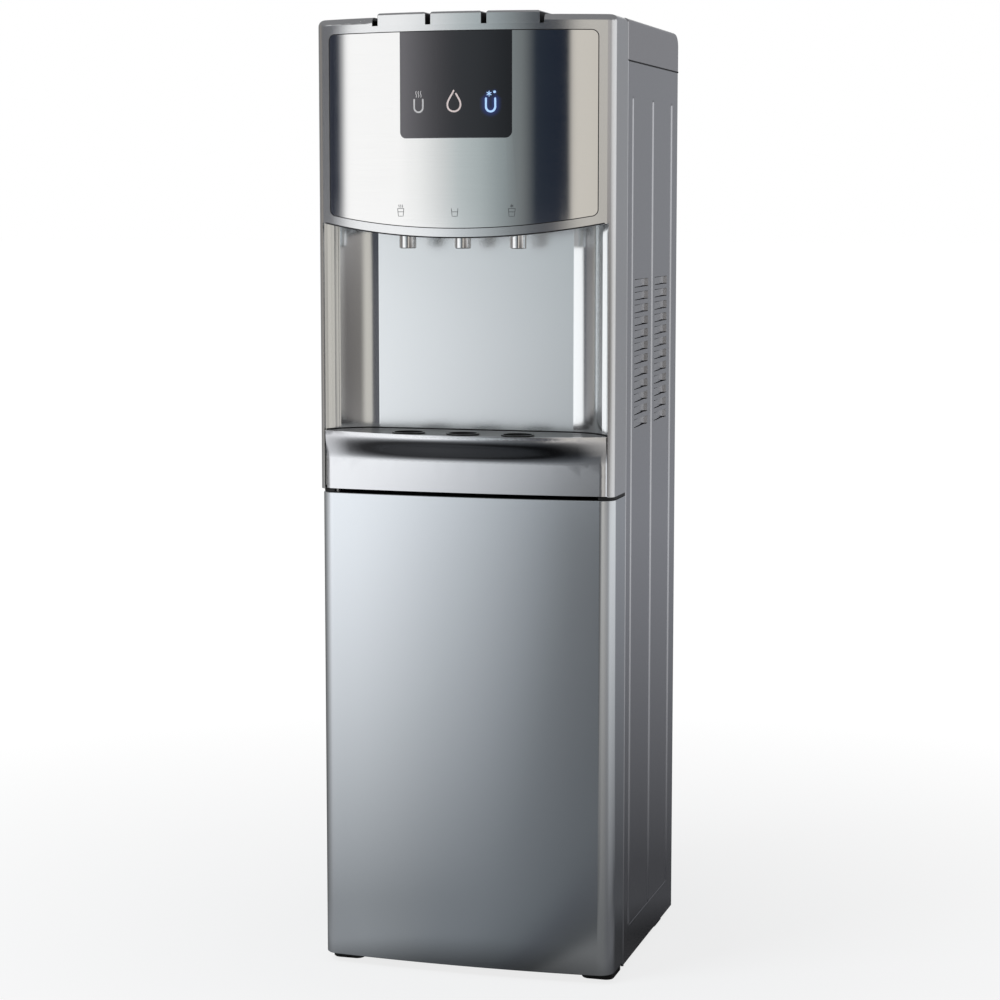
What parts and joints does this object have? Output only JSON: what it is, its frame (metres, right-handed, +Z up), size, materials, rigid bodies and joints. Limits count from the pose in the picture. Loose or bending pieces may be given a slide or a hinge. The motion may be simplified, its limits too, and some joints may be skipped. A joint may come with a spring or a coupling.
{
  "type": "bottom-loading water dispenser",
  "caption": "Tall floor-standing water dispenser with a swinging bottle-bay door, a spout niche over a pull-out drip tray, push keys on top and a steel fascia.",
  "frame": {"origin": "on the floor, at the centre of the overall box", "axes": "+Z up, the front with the spouts faces -Y, +X is the viewer's right when facing the front"},
  "size_m": [0.33, 0.346, 1.04],
  "materials": {
    "frame_silver": "satin silver grey",
    "fascia_steel": "bright, finely brushed",
    "display_black": "smoked gloss",
    "key_silver": "satin",
    "niche_grey": "satin light grey",
    "tray_silver": "satin silver",
    "door_silver": "satin silver",
    "liner_grey": "matt",
    "side_grey": "satin dark grey",
    "cover_grey": "satin",
    "black_plastic": "matt",
    "foot_rubber": "matt",
    "chrome": "polished",
    "galvanised": "zinc grey",
    "steel_bright": "plain",
    "board_green": "lacquered",
    "coil_black": "gloss black",
    "copper": "bare copper",
    "foam_white": "foamed",
    "hose_white": "silicone",
    "magnet": "sintered",
    "red_plastic": "gloss",
    "green_plastic": "gloss"
  },
  "bodies": {
    "cabinet": {"back_panel": "galvanised", "back_screws": "steel_bright", "base_pan": "black_plastic", "bottle_probe": "steel_bright", "bottle_stand": "liner_grey", "catch_plate": "steel_bright", "cold_foam": "foam_white", "cold_tank": "steel_bright", "compressor": "coil_black", "compressor_grommets": "foot_rubber", "condenser_coil": "coil_black", "condenser_wires": "coil_black", "cord_gland": "black_plastic", "display_board": "board_green", "display_window": "display_black", "drain_pipe": "black_plastic", "fascia_panel": "fascia_steel", "feet": "foot_rubber", "front_frame": "frame_silver", "hinge_pins": "steel_bright", "hot_jacket": "foam_white", "hot_tank": "steel_bright", "key_board": "board_green", "key_pin": "steel_bright", "key_spring_cold": "steel_bright", "key_spring_hot": "steel_bright", "key_spring_room": "steel_bright", "mid_deck": "galvanised", "niche_panel": "niche_grey", "probe_clip": "liner_grey", "probe_hose": "hose_white", "pump": "black_plastic", "refrigerant_pipes": "copper", "room_hose": "hose_white", "side_panel_left": "side_grey", "side_panel_right": "side_grey", "spout_cold": "chrome", "spout_hot": "chrome", "spout_plate": "niche_grey", "spout_room": "chrome", "switch_housings": "black_plastic", "tank_shelf": "galvanised", "top_cover": "cover_grey", "tray_shelf": "black_plastic", "valve_cold": "black_plastic", "valve_hoses": "hose_white", "valve_hot": "black_plastic", "valve_room": "black_plastic"},
    "door": {"door_shell": "door_silver", "door_liner": "liner_grey", "door_magnet": "magnet"},
    "tray": {"drip_tray": "tray_silver"},
    "grille": {"drip_grille": "black_plastic"},
    "hot_key": {"key_hot": "key_silver"},
    "room_key": {"key_room": "key_silver"},
    "cold_key": {"key_cold": "key_silver"},
    "heat_switch": {"heat_rocker": "red_plastic"},
    "cool_switch": {"cool_rocker": "green_plastic"},
    "plug": {"drain_plug": "black_plastic"}
  },
  "joints": [
    {"name": "door_swing", "type": "hinge", "parent": "cabinet", "child": "door", "pos_m": [-0.155, -0.112, 0.269], "axis": [0, 0, -1], "range_deg": [0, 105]},
    {"name": "tray_slide", "type": "slide", "parent": "cabinet", "child": "tray", "axis": [0, -1, 0], "range_m": [0, 0.08]},
    {"name": "grille_lift", "type": "slide", "parent": "tray", "child": "grille", "axis": [0, 0, 1], "range_m": [0, 0.06]},
    {"name": "heat_rock", "type": "hinge", "parent": "cabinet", "child": "heat_switch", "pos_m": [-0.108, 0.1535, 0.9013], "axis": [1, 0, 0], "range_deg": [-14, 0]},
    {"name": "cool_rock", "type": "hinge", "parent": "cabinet", "child": "cool_switch", "pos_m": [-0.138, 0.1535, 0.9013], "axis": [1, 0, 0], "range_deg": [-14, 0]},
    {"name": "plug_pull", "type": "slide", "parent": "cabinet", "child": "plug", "axis": [0, 1, 0], "range_m": [0, 0.03]},
    {"name": "hot_press", "type": "hinge", "parent": "cabinet", "child": "hot_key", "pos_m": [-0.061, -0.093, 1.027], "axis": [1, 0, 0], "range_deg": [0, 3], "stiffness_Nm_per_rad": 1.5, "springref_deg": -6.88, "deforming": ["key_spring_hot"]},
    {"name": "room_press", "type": "hinge", "parent": "cabinet", "child": "room_key", "pos_m": [0, -0.093, 1.027], "axis": [1, 0, 0], "range_deg": [0, 3], "stiffness_Nm_per_rad": 1.5, "springref_deg": -6.88, "deforming": ["key_spring_room"]},
    {"name": "cold_press", "type": "hinge", "parent": "cabinet", "child": "cold_key", "pos_m": [0.061, -0.093, 1.027], "axis": [1, 0, 0], "range_deg": [0, 3], "stiffness_Nm_per_rad": 1.5, "springref_deg": -6.88, "deforming": ["key_spring_cold"]}
  ]
}
